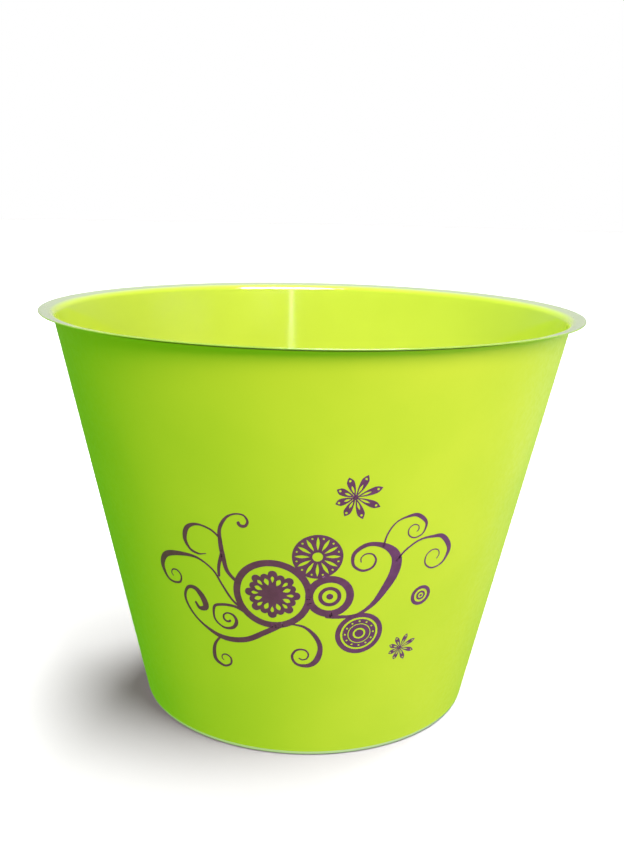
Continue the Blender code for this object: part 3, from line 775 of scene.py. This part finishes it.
    def band(self, centre, radii):
        """A round band with an outer and an inner radius, still flat."""
        return self.slab([circle(centre, radius) for radius in radii])

    def scrollwork(self):
        """The thick ring, the daisy, the rims of target and medallion, and every scroll, as one slab."""
        slabs = [self.band(RING_CENTRE, RING), self.daisy(), self.band(TARGET_CENTRE, TARGET_RIM),
                 self.band(MEDALLION_CENTRE, MEDALLION_RIM)]
        slabs += [self.stroke(knots, widths) for knots, widths in scrolls()]
        return self.lay(self.joined(slabs), "ink_scrollwork", "print_scrollwork")

    def rosette(self):
        """Long and short petals in turn, with a slot in each."""
        edge = []
        count = ROSETTE_PETALS * ROSETTE_STEPS
        for i in range(count):
            angle = math.tau * i / count
            reach = rosette_reach(angle)
            edge.append((RING_CENTRE[0] + reach * math.cos(angle), RING_CENTRE[1] + reach * math.sin(angle)))
        outlines = [edge]
        pairs = ROSETTE_PETALS // 2
        for i in range(pairs):
            outlines.append(turned_to(leaf(*ROSETTE_LONG_SLOT), RING_CENTRE, math.tau * i / pairs))
        half_step = math.tau / ROSETTE_PETALS
        slab = self.slab(outlines, leaf(*ROSETTE_SHORT_SLOT), pairs, RING_CENTRE, half_step)
        return self.lay(slab, "ink_rosette", "print_rosette")

    def medallion_band(self):
        outlines = [circle(MEDALLION_CENTRE, radius) for radius in MEDALLION_BAND]
        dot = circle((BAND_DOTS[0], 0.0), BAND_DOTS[1], FINE_STEP)
        slab = self.slab(outlines, dot, BAND_DOT_COUNT, MEDALLION_CENTRE)
        return self.lay(slab, "ink_medallion_band", "print_medallion_band")


# ================================================================ camera, light and stage

CAMERA_PLACE = (0.0, -0.4839, 0.2426)
CAMERA_PITCH = 0.2248                         # radians below level
CAMERA_YAW = -0.002
CAMERA_ROLL = 0.0218
SENSOR_WIDTH = 36.0                           # millimetres, as is the lens
LENS = 44.1


def place_camera():
    """Stands in front and a little above, turned down and a touch round."""
    camera = bpy.data.cameras.new("camera")
    camera.sensor_width = SENSOR_WIDTH
    camera.lens = LENS
    camera.clip_start = 0.01
    viewer = new_object("camera", camera)
    turn = Matrix.Rotation(CAMERA_YAW, 4, "Z") @ Matrix.Rotation(math.pi / 2 - CAMERA_PITCH, 4, "X")
    viewer.matrix_world = Matrix.Translation(CAMERA_PLACE) @ turn @ Matrix.Rotation(CAMERA_ROLL, 4, "Z")
    bpy.context.scene.camera = viewer


def lamp_object(name, kind, azimuth, elevation, distance, strength, colour):
    """A lamp that looks at the bucket; azimuth 0 is in front of the bucket and 90 is on its right."""
    lamp = bpy.data.lights.new(name, kind)
    lamp.energy = strength
    lamp.color = colour
    light = new_object(name, lamp)
    a, e = math.radians(azimuth), math.radians(elevation)
    towards = Vector((math.sin(a) * math.cos(e), -math.cos(a) * math.cos(e), math.sin(e)))
    light.rotation_euler = towards.to_track_quat("Z", "Y").to_euler()
    light.location = Vector((0.0, 0.0, HEIGHT / 2)) + towards * distance
    return light


def sun(name, azimuth, elevation, spread, strength, colour=(1.0, 1.0, 1.0)):
    """A broad even light from far away."""
    light = lamp_object(name, "SUN", azimuth, elevation, 1.0, strength, colour)
    light.data.angle = math.radians(spread)
    return light


def softbox(name, azimuth, elevation, distance, size, strength, colour=(1.0, 1.0, 1.0)):
    """A square soft light near by, so that what is closer to it is lit more."""
    light = lamp_object(name, "AREA", azimuth, elevation, distance, strength, colour)
    light.data.size = size
    return light


def shine_on(lights, thing, name, link_state="INCLUDE"):
    """Lets lights reach one object alone, or, with EXCLUDE, everything but it."""
    receivers = bpy.data.collections.new(name)
    receivers.objects.link(thing)
    receivers.collection_objects[0].light_linking.link_state = link_state
    for light in lights:
        light.light_linking.receiver_collection = receivers


WORLD_COLOUR = (0.28, 1.0, 0.08, 1.0)         # a green fill from all round
WORLD_STRENGTH = 0.68


def light_the_stage(floor, moulding):
    """Soft lights and narrow reflections for the bucket, and lights for the floor or the moulding alone.

    A softbox is given as azimuth, elevation, distance, size and strength, and a sun as azimuth, elevation,
    spread and strength; most have a colour too.
    """
    scene = bpy.context.scene
    scene.view_settings.view_transform = "Standard"
    world = bpy.data.worlds.new("studio")
    scene.world = world
    world.use_nodes = True
    background = world.node_tree.nodes["Background"]
    background.inputs["Color"].default_value = WORLD_COLOUR
    background.inputs["Strength"].default_value = WORLD_STRENGTH
    unreflected = [
        softbox("window", 19.0, 36.0, 1.2, 0.5, 15.0, (1.0, 0.76, 0.90)),
        softbox("right", 78.0, 8.0, 1.3, 0.8, 23.0, (0.43, 0.31, 1.0)),
        sun("overhead", 0.0, 70.0, 30.0, 1.0, (0.7, 0.9, 1.0)),
        sun("back", 165.0, 25.0, 50.0, 1.8, (1.0, 0.8, 0.8)),
        sun("left_fill", -45.0, -25.0, 60.0, 0.22, (1.0, 0.9, 0.3)),
    ]
    sheen = sun("right_sheen", 130.0, -10.0, 40.0, 0.25)
    streak = softbox("streak", 12.0, 27.0, 1.0, 0.03, 0.3)
    streak.data.shape = "RECTANGLE"
    streak.data.size_y = 0.35
    ceiling = softbox("ceiling", 20.0, 60.0, 1.0, 0.6, 40.0)
    floor_lights = [
        sun("floor_back", 150.0, 30.0, 45.0, 18.0),
        sun("floor_front", 40.0, 68.0, 25.0, 10.5),
        sun("floor_top", 100.0, 80.0, 45.0, 8.8),
    ]
    moulding_lights = [
        sun("overhead_left", -80.0, 70.0, 30.0, 4.6, (0.85, 0.78, 1.0)),
        sun("bounce", 0.0, -35.0, 60.0, 2.5),
    ]
    for light in unreflected + moulding_lights:
        light.visible_glossy = False
    for light in (streak, ceiling):
        light.visible_diffuse = False
    shine_on(moulding_lights, moulding, "moulding_only")
    shine_on(floor_lights, floor, "floor_only")
    shine_on(unreflected + [sheen, streak, ceiling], floor, "all_but_floor", "EXCLUDE")


STAGE_SIZE = 6.0                              # the floor's half side and the dome's radius
DOME_SINK = 1.0                               # how far the dome reaches below the floor
REFLECTED_GLOW = 0.5                          # the dome's strength in reflections


def stage_object(name, mesh, material):
    mesh.materials.clear()
    mesh.materials.append(material)
    thing = new_object(name, mesh)
    thing.visible_diffuse = False
    return thing


def make_stage():
    """A pale floor, a white dome over it, and a dimmer copy of the dome that only reflections see."""
    plane = bmesh.new()
    bmesh.ops.create_grid(plane, x_segments=1, y_segments=1, size=STAGE_SIZE)
    floor_mesh = bpy.data.meshes.new("floor")
    plane.to_mesh(floor_mesh)
    plane.free()
    pale = stage_finish("studio_white", (0.2, 0.2, 0.2, 1.0), (1.0, 0.42, 1.0, 1.0), 0.14)
    floor = stage_object("floor", floor_mesh, pale)
    ball = bmesh.new()
    bmesh.ops.create_uvsphere(ball, u_segments=48, v_segments=24, radius=STAGE_SIZE)
    below = [p for p in ball.verts if p.co.z < -DOME_SINK]
    bmesh.ops.delete(ball, geom=below, context="VERTS")
    dome_mesh = bpy.data.meshes.new("backdrop")
    ball.to_mesh(dome_mesh)
    ball.free()
    dome = stage_object("backdrop", dome_mesh, stage_finish("backdrop_white", BLACK, WHITE, 1.0))
    mirrored = stage_object("reflected_backdrop", dome_mesh.copy(),
                            stage_finish("reflected_white", BLACK, WHITE, REFLECTED_GLOW))
    mirrored.visible_camera = False
    for thing in (floor, dome):
        thing.visible_glossy = False
    for thing in (floor, dome, mirrored):
        thing.visible_shadow = False
    return floor


# ================================================================ putting it together

def build():
    place_camera()
    turned = turned_recipe()
    moulding = make_moulding(turned, lime_plastic())
    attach(moulding, "root")
    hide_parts("bucket_shell")
    film = make_film(turned, green_film())
    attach(film, "root")
    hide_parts("wall_label")
    ink = Print(purple_ink())
    ink.scrollwork()
    ink.rosette()
    ink.disc("ink_target_ring", TARGET_CENTRE, *TARGET_RING)
    ink.disc("ink_target_dot", TARGET_CENTRE, TARGET_DOT)
    ink.medallion_band()
    ink.disc("ink_medallion_ring", MEDALLION_CENTRE, *MEDALLION_RING)
    ink.disc("ink_medallion_dot", MEDALLION_CENTRE, MEDALLION_DOT)
    ink.disc("ink_oval_rim", OVAL_CENTRE, *OVAL_RIM)
    ink.disc("ink_oval_ring", OVAL_CENTRE, *OVAL_RING)
    ink.disc("ink_oval_dot", OVAL_CENTRE, OVAL_DOT)
    ink.flower("ink_large_flower", LARGE_FLOWER_CENTRE, 1.0)
    ink.flower("ink_small_flower", SMALL_FLOWER_CENTRE, SMALL_FLOWER_SCALE)
    light_the_stage(make_stage(), moulding)


build()
